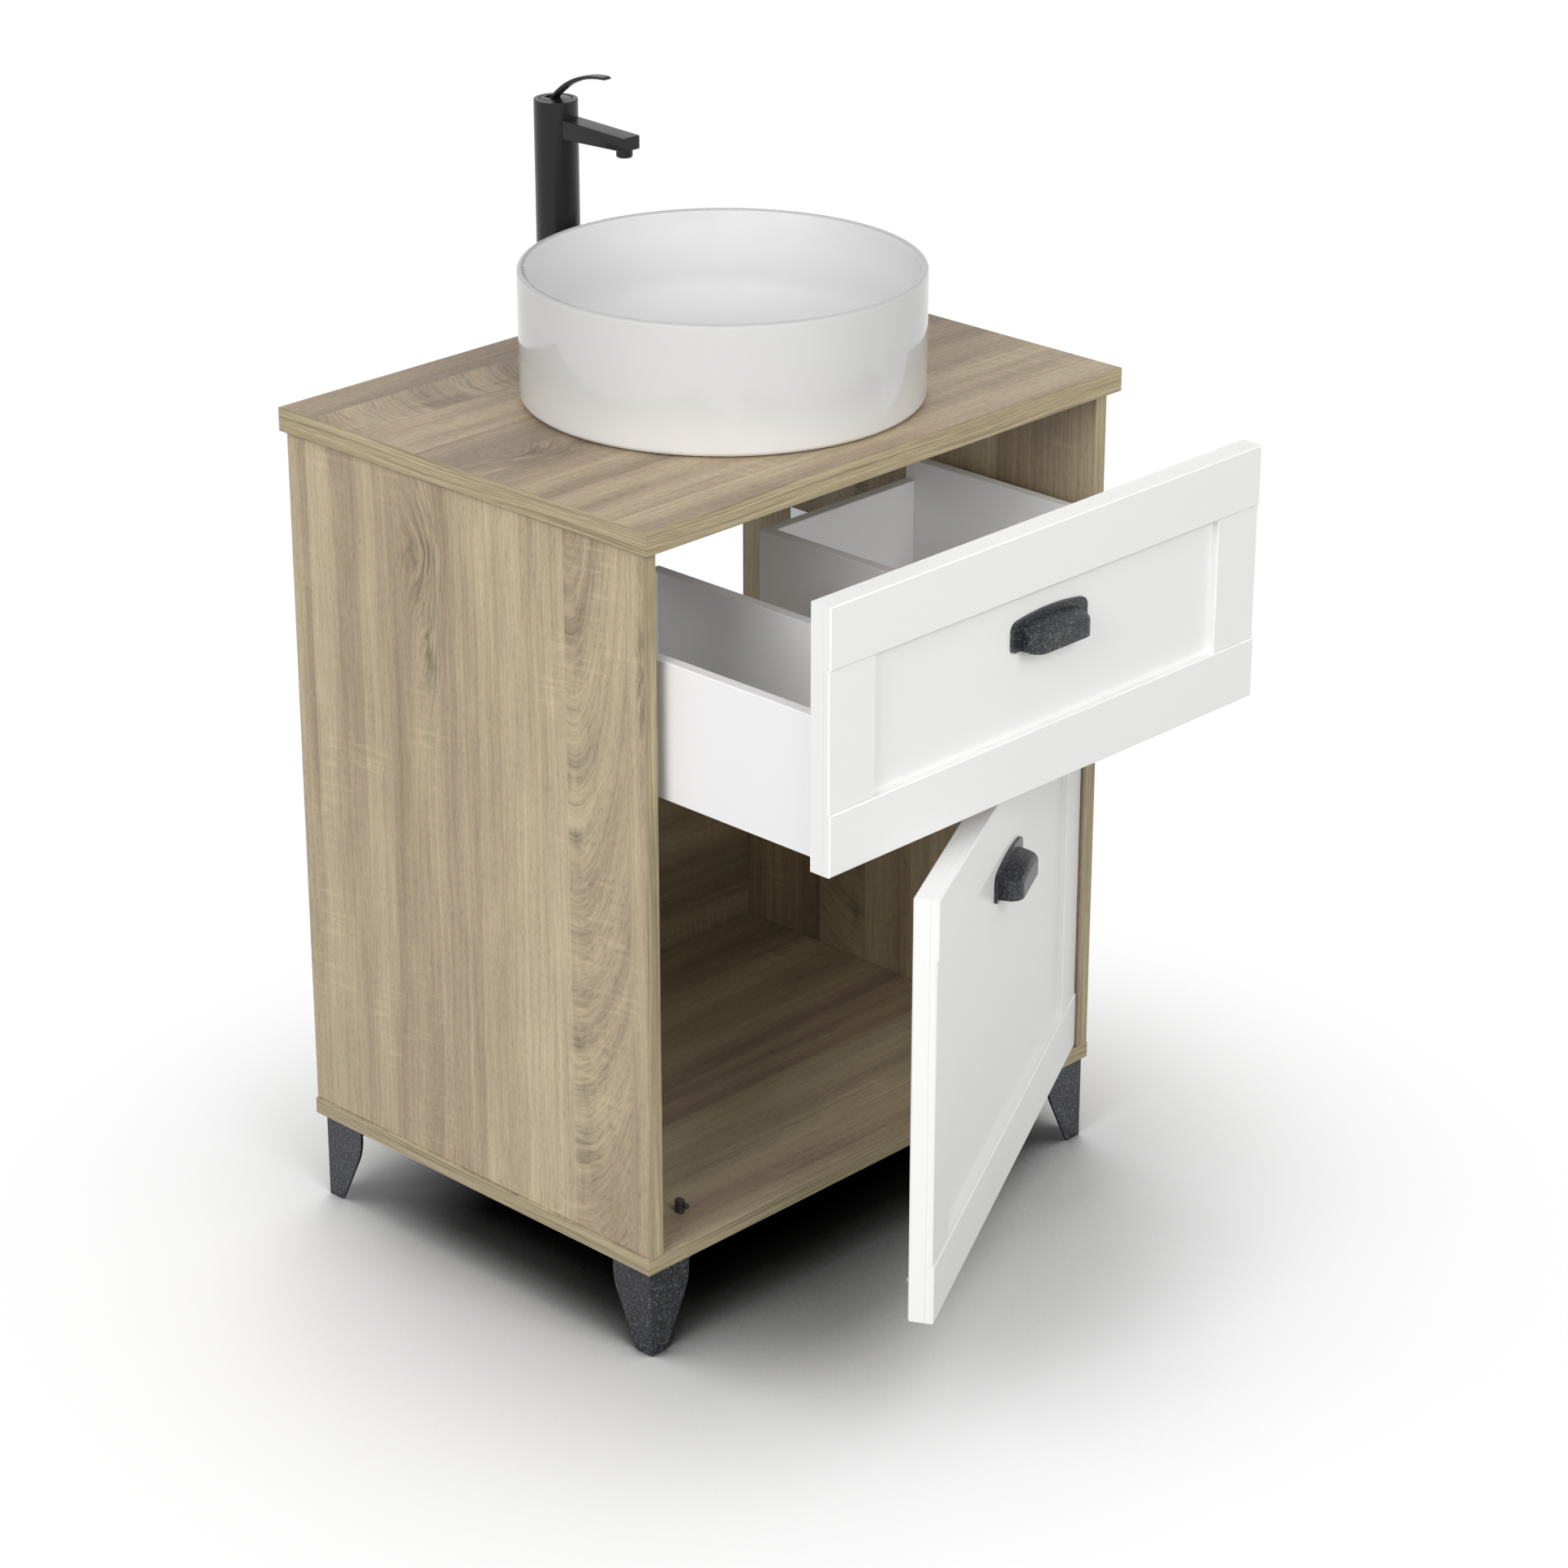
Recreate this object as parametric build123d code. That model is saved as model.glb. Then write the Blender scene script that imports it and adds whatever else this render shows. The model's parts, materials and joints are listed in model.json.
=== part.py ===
"""Vessel sink on a vanity: a round basin and a tall single-lever tap on a cabinet with a drawer and a door.

Millimetres, +Z up. The origin is on the floor at the wall, under the middle of the countertop's back
edge: +X is to the right as one stands at the basin, and the front looks along -Y.
The drawer and the door are modelled shut and then stored as pictured, pulled out and ajar.
"""
from math import radians, tan
from build123d import *
import os

# Countertop and carcass
top_width = 600.0
top_depth = 460.0
top_thickness = 22.0
top_height = 780.0
top_side_overhang = 7.0
top_front_overhang = 11.0
top_back_overhang = 2.0
side_thickness = 15.0
base_thickness = 16.0
base_side_reach = 2.5
base_front_setback = 1.0
back_panel_thickness = 8.0
back_panel_height = 320.0
back_rail_thickness = 15.0
back_rail_height = 70.0
wall_hole_radius = 4.0
wall_hole_spacing = 400.0
edge_break = 0.8

# Dowels and countersunk screws
dowel_radius = 4.0
dowel_length = 30.0
dowel_in_board = 10.0
dowel_inset = 60.0
dowel_rail_inset = 17.5
dowel_clearance = 0.05
screw_radius = 2.0
screw_head_radius = 3.8
screw_head_height = 2.2
screw_clearance = 0.1

# Feet: folded corner brackets with a screw flange
foot_height = 84.0
foot_plate = 3.0
foot_top_width = 47.5
foot_floor_width = 18.0
foot_knee_height = 60.0
foot_knee_radius = 59.0
foot_flange = 49.0
foot_flange_thickness = 4.0
foot_flange_corner = 22.0
foot_side_inset = 5.0
foot_front_inset = 3.5
foot_back_inset = 9.6
foot_screw_length = 13.0
foot_screw_place = 14.0
foot_screw_spacing = 24.0

# Framed fronts, shared by the drawer and the door
front_side_gap = 4.3
front_proud = 3.0
fronts_gap = 22.0
front_panel_thickness = 15.0
rail_thickness = 7.5
stile_thickness = 6.0
rail_width = 55.0
stile_width = 55.0
front_edge_break = 1.0
glue_line = 0.1

# Drawer
drawer_opening = 189.0
drawer_top_gap = 2.0
drawer_front_height = 235.0
drawer_side_gap = 12.4
drawer_board = 12.0
drawer_rear_gap = 49.5
drawer_side_rise = 7.5
drawer_side_height = 125.0
drawer_inner_drop = 20.0
drawer_bottom_recess = 13.0
drawer_bottom_thickness = 10.0
bay_left = 71.0
bay_right = 56.5
bay_depth = 265.0

# Runners: a fixed rail under each side of the drawer and a channel that slides over it
runner_short = 28.0
runner_sheet = 2.0
runner_setback = 29.0
runner_web_drop = 5.5
runner_flange_height = 33.0
runner_head_width = 13.4
runner_side_offset = 1.6
runner_play = 0.3
runner_leg_gap = 4.0
runner_screw_length = 12.0
runner_screw_inset = 40.0
runner_screw_drop = 8.0

# Door and its pivots
door_angle = 27.8
door_bottom_gap = 3.0
pivot_edge_distance = 8.6
pivot_face_distance = 8.6
pivot_pin_radius = 2.2
pivot_pin_stand = 2.0
pivot_play = 0.05
pivot_end_play = 1.0
pivot_plate_length = 46.0
pivot_plate_width = 14.0
pivot_plate_thickness = 2.0
mortise_clearance = 0.1
bush_radius = 3.2
bush_flange_radius = 4.2
bush_flange_thickness = 1.5
bush_depth = 10.0
bracket_thickness = 2.5
bracket_gap = 1.5
bracket_setback = 0.5
bracket_width = 19.0
bracket_reach = 20.0
bracket_height = 36.0
bracket_screw_length = 12.0
bracket_screw_rise = 15.0
bracket_screw_spacing = 13.0

# Door catch: a magnet peg with a nose on the base and a keeper stud on the door
catch_side_inset = 64.0
catch_front_inset = 40.4
catch_width = 7.0
catch_depth = 9.0
catch_height = 12.0
catch_corner = 1.5
catch_nose_radius = 2.6
catch_nose_length = 5.0
catch_play = 0.3
keeper_radius = 3.2
keeper_plate_radius = 5.0
keeper_plate_thickness = 1.5
keeper_rise = 0.5

# Cup handle
handle_width = 96.0
handle_side_height = 26.0
handle_arch_rise = 4.8
handle_corner_radius = 9.0
handle_foot_radius = 4.0
handle_flange = 3.0
handle_depth = 22.0
handle_wall = 3.0
hood_width = 74.0
hood_corner_radius = 12.0
hood_top_step = 5.5
hood_slope = 15.0
hood_edge_radius = 6.0
handle_drop = 19.7
handle_post_spacing = 64.0
handle_post_height = 12.5
handle_post_radius = 4.0
handle_screw_bite = 9.0

# Basin
basin_radius = 180.0
basin_height = 117.0
basin_wall = 7.0
basin_bottom = 14.0
basin_floor_rise = 5.0
basin_floor_radius = 42.0
basin_foot_radius = 5.0
basin_rim_radius = 3.2
basin_tap_gap = 9.0
basin_seal_inset = 20.0
basin_seal_width = 10.0
basin_seal_thickness = 0.8

# Push-to-close waste
waste_thread_radius = 20.95
waste_wall = 2.95
waste_hole_clearance = 1.55
waste_flange_width = 13.0
waste_flange_thickness = 3.0
waste_flange_edge = 1.2
waste_seal_thickness = 2.0
waste_tail_drop = 68.0
waste_relief_width = 2.0
waste_relief_depth = 0.6
waste_nut_width = 9.0
waste_nut_height = 9.0
waste_nut_sides = 8
waste_washer_thickness = 3.0
waste_guide_width = 12.0
waste_guide_depth = 12.0
waste_guide_drop = 30.0
plug_edge_inset = 3.0
plug_edge = 3.0
plug_dome = 4.0
plug_travel = 8.0
plug_stem_radius = 4.0
plug_stem_play = 0.05
plug_seal_inset = 2.0
plug_seal_width = 4.0
plug_seal_height = 1.2
plug_rest_gap = 0.4

# Tap body, spout and what holds them down
tap_setback = 43.0
tap_radius = 20.0
tap_height = 228.0
tap_wall = 4.4
tap_edge = 1.0
tap_hole_radius = 17.5
tap_seal_thickness = 1.0
tap_seal_width = 3.0
spout_width = 20.0
spout_reach = 97.0
spout_root_drop = 14.6
spout_root_height = 19.1
spout_tip_drop = 17.8
spout_tip_height = 12.3
spout_edge = 1.0
aerator_radius = 7.4
aerator_drop = 6.8
aerator_seat = 5.0
aerator_wall = 1.9
aerator_edge = 0.8
aerator_setback = 9.5
aerator_play = 0.1
stud_radius = 4.0
stud_offset = 8.0
stud_sink = 12.0
stud_drop = 46.0
clamp_radius = 23.0
clamp_thickness = 3.0
clamp_slot_width = 25.0
clamp_clearance = 0.1
tap_nut_radius = 7.5
tap_nut_height = 6.5
tap_nut_sides = 6
inlet_radius = 4.5
inlet_thread_radius = 5.0
inlet_thread_length = 18.0
inlet_spread = 6.5
inlet_offset = 6.0
inlet_drop = 23.0

# Cartridge and lever
cartridge_play = 0.6
cartridge_height = 24.0
cartridge_nut_height = 3.5
cartridge_nut_opening = 9.0
stem_radius = 4.5
stem_sink = 15.0
stem_play = 0.05
tongue_half = 3.5
tongue_rise = 3.5
tongue_drop = 5.0
ball_play = 0.6
ball_drop = 10.0
ball_top_drop = 2.5
ball_skirt = 2.0
ball_room = 7.5
ball_pocket_play = 0.15
ball_pocket_length = 14.0
ball_pocket_height = 5.3
lever_pin_radius = 1.5
lever_pin_length = 24.0
lever_pin_play = 0.05
lever_width = 12.0
lever_reach = 67.0
lever_tip_height = 31.1
lever_tip_slant = 4.0
lever_tip_thickness = 3.0
lever_root_back = 8.0
lever_root_front = 8.5
lever_root_sink = 1.0
lever_upper_run = 19.0
lever_upper_rise = 20.3
lever_lower_run = 29.0
lever_lower_rise = 18.6
lever_edge = 0.8

# Levels and planes that follow from the sizes above
top_underside = top_height - top_thickness
base_top = foot_height + base_thickness
carcass_half = top_width / 2 - top_side_overhang
inner_half = carcass_half - side_thickness
carcass_front = top_front_overhang - top_depth
carcass_back = -top_back_overhang
base_half = carcass_half + base_side_reach
base_front = carcass_front + base_front_setback
front_plane = carcass_front - front_proud
front_half = inner_half - front_side_gap
panel_face = front_plane + rail_thickness
frame_back = panel_face - glue_line
panel_back = panel_face + front_panel_thickness
drawer_front_top = top_underside - drawer_top_gap
drawer_front_bottom = drawer_front_top - drawer_front_height
door_bottom = base_top + door_bottom_gap
door_top = drawer_front_bottom - fronts_gap
drawer_half = inner_half - drawer_side_gap
drawer_inner_half = drawer_half - drawer_board
drawer_rear = carcass_back - drawer_rear_gap
drawer_side_bottom = drawer_front_bottom + drawer_side_rise
drawer_side_top = drawer_side_bottom + drawer_side_height
drawer_floor_underside = drawer_side_bottom + drawer_bottom_recess
drawer_floor = drawer_floor_underside + drawer_bottom_thickness
pivot_x = front_half - pivot_edge_distance
pivot_y = front_plane + pivot_face_distance
tap_y = -tap_setback
tap_seat = top_height + tap_seal_thickness
tap_top = top_height + tap_height
bore_radius = tap_radius - tap_wall
ball_radius = bore_radius - ball_play
pivot_level = tap_top - ball_drop
ball_bottom = pivot_level - ball_skirt
basin_y = tap_y - tap_radius - basin_tap_gap - basin_radius
basin_seat = top_height + basin_seal_thickness
basin_floor = basin_seat + basin_bottom
waste_hole_radius = waste_thread_radius + waste_hole_clearance
drawer_shift = Pos(0, -drawer_opening, 0)
door_turn = Pos(pivot_x, pivot_y, 0) * Rot(0, 0, door_angle) * Pos(-pivot_x, -pivot_y, 0)

UPWARD = (Align.CENTER, Align.CENTER, Align.MIN)
parts = {}


def block(x_range, y_range, z_range):
    """A box between two limits on each axis."""
    limits = (x_range, y_range, z_range)
    centre = [(low + high) / 2 for low, high in limits]
    return Pos(*centre) * Box(*[high - low for low, high in limits])


def board(x_range, y_range, z_range):
    """A board whose edges are all lightly broken."""
    return chamfer(block(x_range, y_range, z_range).edges(), edge_break)


def rod(radius, y, bottom, top, x=0):
    """An upright cylinder between two levels."""
    return Pos(x, y, bottom) * Cylinder(radius, top - bottom, align=UPWARD)


def ring(outer, inner, y, bottom, top):
    """An upright tube between two levels."""
    return rod(outer, y, bottom, top) - rod(inner, y, bottom, top)


def nut(radius, sides, bore, y, bottom, height):
    """A nut with flat sides round an upright bore."""
    blank = Pos(0, y, bottom) * extrude(RegularPolygon(radius, sides), height)
    return blank - rod(bore, y, bottom, bottom + height)


def screw(length):
    """A countersunk screw along +Z with its head's flat face at the origin."""
    head = Cone(screw_head_radius, screw_radius, screw_head_height, align=UPWARD)
    return head + Cylinder(screw_radius, length, align=UPWARD)


def screw_hole(length):
    """The hole that a countersunk screw sits in, a little wider and deeper than the screw."""
    narrow = screw_radius + screw_clearance
    head = Cone(screw_head_radius + screw_clearance, narrow, screw_head_height, align=UPWARD)
    return head + Cylinder(narrow, length + screw_clearance, align=UPWARD)


def cut_all(solid, tools):
    """The solid less each of the tools."""
    for tool in tools:
        solid -= tool
    return solid


def group(solids, place=Pos(0, 0, 0)):
    """Separate like pieces in one node, each moved to the place by itself."""
    return Compound(children=[place * solid for solid in solids])


# Dowels: upright ones join the sides to the base and the top, level ones the upper back board
def dowel_places():
    """Each dowel's place, with the dowel along +Z from there."""
    places = []
    for side in (-1, 1):
        x = side * (carcass_half - side_thickness / 2)
        for y in (carcass_front + dowel_inset, carcass_back - dowel_inset):
            places.append(Pos(x, y, base_top - dowel_in_board))
            places.append(Pos(x, y, top_underside + dowel_in_board - dowel_length))
        start = side * (inner_half + dowel_in_board)
        y = carcass_back - back_rail_thickness / 2
        for level in (dowel_rail_inset, back_rail_height - dowel_rail_inset):
            places.append(Pos(start, y, top_underside - level) * Rot(0, -side * 90, 0))
    return places


dowel = Cylinder(dowel_radius, dowel_length, align=UPWARD)
dowel_hole = Cylinder(dowel_radius + dowel_clearance, dowel_length, align=UPWARD)
dowel_holes = [place * dowel_hole for place in dowel_places()]
parts["dowels"] = group(place * dowel for place in dowel_places())


# Feet, each drawn for a corner at the origin with its plates along +X and +Y, then turned into place
def foot_outline():
    """One plate's outline: narrow at the floor, widening on a slope to a rounded knee."""
    corners = [
        (0, 0),
        (foot_floor_width, 0),
        (foot_top_width, foot_knee_height),
        (foot_top_width, foot_height),
        (0, foot_height),
    ]
    face = make_face(Polyline(*corners, close=True))
    knee = face.vertices().sort_by_distance((foot_top_width, foot_knee_height))[0]
    return fillet(knee, foot_knee_radius)


def foot():
    """A corner bracket: two plates that meet at a sharp corner under a flange with screw holes."""
    front_plate = extrude(Plane.XZ * foot_outline(), -foot_plate)
    side_plate = extrude(Plane.YZ * foot_outline(), foot_plate)
    flange = block((0, foot_flange), (0, foot_flange), (foot_seat, foot_height))
    inner_corner = (foot_flange, foot_flange, foot_seat)
    inner_edge = flange.edges().filter_by(Axis.Z).sort_by_distance(inner_corner)[0]
    flange = chamfer(inner_edge, foot_flange_corner)
    return cut_all(front_plate + side_plate + flange, [spot * foot_screw_hole for spot in foot_screw_spots])


foot_half = base_half - foot_side_inset
foot_front = base_front + foot_front_inset
foot_back = carcass_back - foot_back_inset
foot_seat = foot_height - foot_flange_thickness
foot_screw_far = foot_screw_place + foot_screw_spacing
foot_screw_spots = [
    Pos(foot_screw_place, foot_screw_place, foot_seat),
    Pos(foot_screw_far, foot_screw_place, foot_seat),
    Pos(foot_screw_place, foot_screw_far, foot_seat),
]
foot_screw_hole = screw_hole(foot_screw_length)
foot_places = {
    "front_left": Pos(-foot_half, foot_front, 0),
    "front_right": Pos(foot_half, foot_front, 0) * Rot(0, 0, 90),
    "back_right": Pos(foot_half, foot_back, 0) * Rot(0, 0, 180),
    "back_left": Pos(-foot_half, foot_back, 0) * Rot(0, 0, 270),
}
foot_screws = [place * spot for place in foot_places.values() for spot in foot_screw_spots]
for name, place in foot_places.items():
    parts["foot_" + name] = place * foot()
parts["foot_screws"] = group(spot * screw(foot_screw_length) for spot in foot_screws)

# Runners, drawn on the right and mirrored: the rail's head stands inside the drawer's channel
half_sheet = runner_sheet / 2
channel_right = drawer_inner_half - runner_side_offset
head_right = channel_right - runner_sheet - runner_play
head_left = head_right - runner_head_width
channel_left = head_left - runner_play - runner_sheet
head_top = drawer_floor_underside - runner_sheet - runner_play
web_level = drawer_side_bottom - runner_web_drop
runner_length = drawer_rear - panel_back - runner_short
rail_front = carcass_front + runner_setback
rail_rear = rail_front + runner_length


def folded_strip(corners, front):
    """A strip of sheet folded through the corners, which lie on the sheet's middle, and run along Y."""
    section = trace(Polyline(*corners), runner_sheet)
    plane = Plane((0, front, 0), x_dir=(1, 0, 0), z_dir=(0, -1, 0))
    return extrude(plane * section, -runner_length)


def runner_rail():
    """A flange on the side panel, a web below the drawer's side, and a hollow head inside it."""
    flange_x = inner_half - half_sheet
    corners = [
        (flange_x, web_level + runner_flange_height),
        (flange_x, web_level),
        (head_right - half_sheet, web_level),
        (head_right - half_sheet, head_top - half_sheet),
        (head_left + half_sheet, head_top - half_sheet),
        (head_left + half_sheet, web_level + runner_sheet),
    ]
    return folded_strip(corners, rail_front)


def runner_channel():
    """The channel under the drawer, open below, that slides along the rail's head."""
    roof = drawer_floor_underside - half_sheet
    leg = web_level + runner_leg_gap
    corners = [
        (channel_right - half_sheet, leg),
        (channel_right - half_sheet, roof),
        (channel_left + half_sheet, roof),
        (channel_left + half_sheet, leg),
    ]
    return folded_strip(corners, panel_back + runner_play)


def runner_screw_places(side):
    """Screws through the rail's flange into a side panel: side is -1 on the left and 1 on the right."""
    level = web_level + runner_flange_height - runner_screw_drop
    x = side * (inner_half - runner_sheet)
    rows = (rail_front + runner_screw_inset, rail_rear - runner_screw_inset)
    return [Pos(x, y, level) * Rot(0, side * 90, 0) for y in rows]


def runner_holes(side):
    """The holes for those screws."""
    return [place * screw_hole(runner_screw_length) for place in runner_screw_places(side)]


right_rail = runner_rail()
right_channel = runner_channel()
parts["runner_rail_right"] = cut_all(right_rail, runner_holes(1))
parts["runner_rail_left"] = cut_all(mirror(right_rail, Plane.YZ), runner_holes(-1))
parts["runner_screws"] = group(
    place * screw(runner_screw_length) for side in (-1, 1) for place in runner_screw_places(side)
)
parts["drawer_slides"] = group([right_channel, mirror(right_channel, Plane.YZ)], drawer_shift)

# Door pivots on the cabinet: an angle bracket on the right side panel above, a flanged bush in the base
bracket_level = door_top + bracket_gap
bracket_front = carcass_front + bracket_setback
bracket_face = inner_half - bracket_thickness
bracket_middle = bracket_front + bracket_width / 2
bracket_screw_level = bracket_level + bracket_screw_rise
bracket_screw_places = [
    Pos(bracket_face, bracket_middle, level) * Rot(0, 90, 0)
    for level in (bracket_screw_level, bracket_screw_level + bracket_screw_spacing)
]
bracket_holes = [place * screw_hole(bracket_screw_length) for place in bracket_screw_places]
pivot_bore = pivot_pin_radius + pivot_play
bush_bottom = base_top - bush_depth
bush_top = base_top + bush_flange_thickness


def hinge_bracket():
    """An angle with its level leaf bored for the door's upper pin."""
    depth = (bracket_front, bracket_front + bracket_width)
    leaf_top = bracket_level + bracket_thickness
    leaf = block((inner_half - bracket_reach, inner_half), depth, (bracket_level, leaf_top))
    wing_heights = (bracket_level, bracket_level + bracket_height)
    wing = block((bracket_face, inner_half), depth, wing_heights)
    bored = leaf + wing - rod(pivot_bore, pivot_y, bracket_level, leaf_top, pivot_x)
    return cut_all(bored, bracket_holes)


def hinge_bush():
    """A flanged bush sunk in the base for the door's lower pin."""
    barrel = rod(bush_radius, pivot_y, bush_bottom, base_top, pivot_x)
    flange = rod(bush_flange_radius, pivot_y, base_top, bush_top, pivot_x)
    return barrel + flange - rod(pivot_bore, pivot_y, bush_bottom, bush_top, pivot_x)


parts["hinge_bracket_top"] = hinge_bracket()
parts["hinge_bush_bottom"] = hinge_bush()
parts["hinge_screws"] = group(place * screw(bracket_screw_length) for place in bracket_screw_places)


# Carcass boards
def countertop():
    """The top board with the holes for the waste and the tap."""
    solid = board((-top_width / 2, top_width / 2), (-top_depth, 0), (top_underside, top_height))
    solid -= rod(waste_hole_radius, basin_y, top_underside, top_height)
    solid -= rod(tap_hole_radius, tap_y, top_underside, top_height)
    return cut_all(solid, dowel_holes)


def side_panel(side, holes):
    """An upright side board: side is -1 on the left and 1 on the right."""
    x_range = sorted((side * inner_half, side * carcass_half))
    solid = board(x_range, (carcass_front, carcass_back), (base_top, top_underside))
    return cut_all(solid, dowel_holes + holes)


def base_panel():
    """The floor board that the sides stand on and the feet carry."""
    solid = board((-base_half, base_half), (base_front, carcass_back), (foot_height, base_top))
    solid -= rod(bush_radius, pivot_y, bush_bottom, base_top, pivot_x)
    return cut_all(solid, dowel_holes + [place * foot_screw_hole for place in foot_screws])


def back_rail():
    """The upper back board, bored for two wall bolts."""
    y_range = (carcass_back - back_rail_thickness, carcass_back)
    z_range = (top_underside - back_rail_height, top_underside)
    solid = board((-inner_half, inner_half), y_range, z_range)
    bolt = Rot(90, 0, 0) * Cylinder(wall_hole_radius, 2 * back_rail_thickness)
    level = top_underside - back_rail_height / 2
    spots = (-wall_hole_spacing / 2, wall_hole_spacing / 2)
    return cut_all(solid, [Pos(x, carcass_back, level) * bolt for x in spots] + dowel_holes)


parts["countertop"] = countertop()
parts["side_panel_left"] = side_panel(-1, runner_holes(-1))
parts["side_panel_right"] = side_panel(1, runner_holes(1) + bracket_holes)
parts["base_panel"] = base_panel()
parts["back_panel"] = board(
    (-inner_half, inner_half),
    (carcass_back - back_panel_thickness, carcass_back),
    (base_top, base_top + back_panel_height),
)
parts["back_rail"] = back_rail()


# Cup handle, drawn flat: X across, Y up, Z out of the front that it is screwed to
def arched_outline(half, side_height, radius):
    """A straight foot and sides under a low arch, with rounded upper corners."""
    crown = (0, side_height + handle_arch_rise)
    arch = ThreePointArc((half, side_height), crown, (-half, side_height))
    rest = Polyline((-half, side_height), (-half, 0), (half, 0), (half, side_height))
    face = make_face([arch, rest])
    return fillet(face.vertices().group_by(Axis.Y)[-1], radius)


def hood_body(inset, depth):
    """The hood's body, or its hollow when inset by the wall: rounded in plan, its top sloping outwards."""
    half = hood_width / 2 - inset
    radius = hood_corner_radius - inset
    plan = Plane.XZ * RectangleRounded(2 * half, 2 * depth, radius)
    slope_run = depth * tan(radians(hood_slope))
    upper = arched_outline(half + slope_run, handle_side_height - hood_top_step - inset, radius)
    sloped = extrude(upper + mirror(upper, Plane.XZ), depth, taper=hood_slope)
    return sloped & extrude(plan, handle_width, both=True)


def above_foot(edge):
    """Whether an edge of the hood lies above its foot and clear of its back."""
    return edge.center().Y > handle_flange and edge.center().Z > handle_flange


def handle():
    """A flange plate, a rounded hood open below, and two posts for the screws."""
    outline = arched_outline(handle_width / 2, handle_side_height, handle_corner_radius)
    outline = fillet(outline.vertices().group_by(Axis.Y)[0], handle_foot_radius)
    flange = extrude(outline, handle_flange)
    outer = hood_body(0, handle_depth)
    outer = fillet(outer.edges().filter_by(above_foot), hood_edge_radius)
    hollow = Pos(0, 0, handle_flange) * hood_body(handle_wall, handle_depth - handle_flange - handle_wall)
    upper_half = block((-handle_width, handle_width), (0, handle_width), (0, handle_width))
    solid = flange + (outer & upper_half) - hollow
    for place in handle_posts:
        solid += place * Cylinder(handle_post_radius, handle_flange + handle_screw_bite, align=UPWARD)
        solid -= place * Cylinder(screw_radius + screw_clearance, handle_screw_bite, align=UPWARD)
    return solid


handle_posts = [Pos(x, handle_post_height, 0) for x in (-handle_post_spacing / 2, handle_post_spacing / 2)]
handle_screw_length = front_panel_thickness + handle_screw_bite


def handle_place(front_top):
    """The handle's place: centred on a front's panel, below its upper rail."""
    foot_level = front_top - rail_width - handle_drop - handle_side_height - handle_arch_rise
    return Plane((0, frame_back, foot_level), x_dir=(1, 0, 0), z_dir=(0, -1, 0)).location


def handle_screw_places(front_top):
    """Screws from behind the panel into the handle's posts."""
    behind = Pos(0, 0, frame_back - panel_back)
    return [handle_place(front_top) * behind * post for post in handle_posts]


# Framed fronts: rails across the whole width, slightly thinner stiles between them, on a flat panel
def faced(x_range, y_range, z_range):
    """A frame piece with the edges of its front face broken."""
    solid = block(x_range, y_range, z_range)
    return chamfer(solid.faces().sort_by(Axis.Y)[0].edges(), front_edge_break)


def framed_front(prefix, bottom, top, place, mortises):
    """Stores a front's panel, rails, stiles, handle and handle screws under the prefix."""
    screw_places = handle_screw_places(top)
    panel = block((-front_half, front_half), (panel_face, panel_back), (bottom, top))
    panel = chamfer(panel.faces().sort_by(Axis.Y)[-1].edges(), front_edge_break)
    holes = [spot * screw_hole(handle_screw_length) for spot in screw_places]
    rails = []
    for low in (bottom, top - rail_width):
        rail = faced((-front_half, front_half), (front_plane, frame_back), (low, low + rail_width))
        rails.append(cut_all(rail, mortises))
    stiles = []
    for low in (-front_half, front_half - stile_width):
        z_range = (bottom + rail_width, top - rail_width)
        stiles.append(faced((low, low + stile_width), (frame_back - stile_thickness, frame_back), z_range))
    parts[prefix + "_front_panel"] = place * cut_all(panel, holes + mortises)
    parts[prefix + "_front_rails"] = group(rails, place)
    parts[prefix + "_front_stiles"] = group(stiles, place)
    parts[prefix + "_handle"] = place * handle_place(top) * handle()
    screws = [spot * screw(handle_screw_length) for spot in screw_places]
    parts[prefix + "_handle_screws"] = group(screws, place)


framed_front("drawer", drawer_front_bottom, drawer_front_top, drawer_shift, [])


# Drawer box: outer sides, a bay left open at the back for the waste, and a floor notched to match
def drawer_floor_board():
    """The floor between the sides, notched from the rear round the open bay."""
    z_range = (drawer_floor_underside, drawer_floor)
    solid = block((-drawer_inner_half, drawer_inner_half), (panel_back, drawer_rear), z_range)
    return solid - block((-bay_left, bay_right), (bay_front, drawer_rear), z_range)


bay_front = drawer_rear - bay_depth
bay_wall_left = -bay_left - drawer_board
bay_wall_right = bay_right + drawer_board
box_depth = (panel_back, drawer_rear)
bay_range = (bay_front, drawer_rear)
bay_front_range = (bay_front - drawer_board, bay_front)
back_range = (drawer_rear - drawer_board, drawer_rear)
side_heights = (drawer_side_bottom, drawer_side_top)
inner_heights = (drawer_floor, drawer_side_top - drawer_inner_drop)
drawer_boards = {
    "drawer_side_left": ((-drawer_half, -drawer_inner_half), box_depth, side_heights),
    "drawer_side_right": ((drawer_inner_half, drawer_half), box_depth, side_heights),
    "drawer_bay_wall_left": ((bay_wall_left, -bay_left), bay_range, inner_heights),
    "drawer_bay_wall_right": ((bay_right, bay_wall_right), bay_range, inner_heights),
    "drawer_bay_front": ((bay_wall_left, bay_wall_right), bay_front_range, inner_heights),
    "drawer_back_left": ((-drawer_inner_half, bay_wall_left), back_range, inner_heights),
    "drawer_back_right": ((bay_wall_right, drawer_inner_half), back_range, inner_heights),
}
for name, ranges in drawer_boards.items():
    parts[name] = drawer_shift * board(*ranges)
parts["drawer_bottom"] = drawer_shift * drawer_floor_board()


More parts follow.
